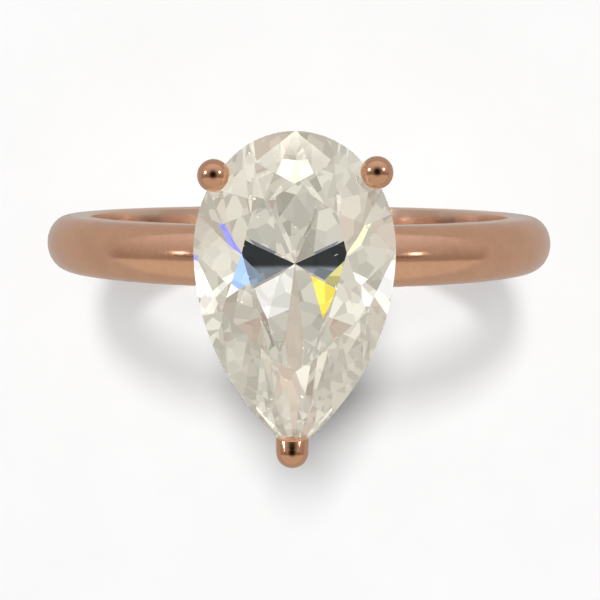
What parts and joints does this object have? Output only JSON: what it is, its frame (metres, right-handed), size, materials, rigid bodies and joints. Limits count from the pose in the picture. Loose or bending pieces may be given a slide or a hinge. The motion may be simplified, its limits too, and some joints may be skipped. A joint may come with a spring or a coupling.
{
  "type": "engagement ring",
  "caption": "Plain domed rose-gold finger ring with a raised pear-cut clear stone held by round-tipped claws on a peg head.",
  "frame": {"origin": "middle of the base of the bounding box: under the finger axis in X, at the lowest point of the shank's crest in Z, and midway between the tip claw and the stone's round end in Y. The centre of the finger bore is at (0, 1.05, 9.9) mm", "axes": "+Z through the stone, away from the finger; +Y along the finger axis towards the stone's round end, so the stone's tip points to -Y; +X to the right when the stone is seen from above with its tip downwards"},
  "size_m": [0.0198, 0.0106, 0.0241],
  "materials": {
    "shank_gold": "polished",
    "head_gold": "polished",
    "claw_gold": "polished",
    "stone": "polished"
  },
  "bodies": {
    "root": {"shank": "shank_gold", "head_peg": "head_gold", "base_rail": "head_gold", "gallery_rail": "head_gold", "prong_left": "claw_gold", "prong_right": "claw_gold", "prong_tip": "claw_gold", "stone": "stone"}
  },
  "joints": []
}
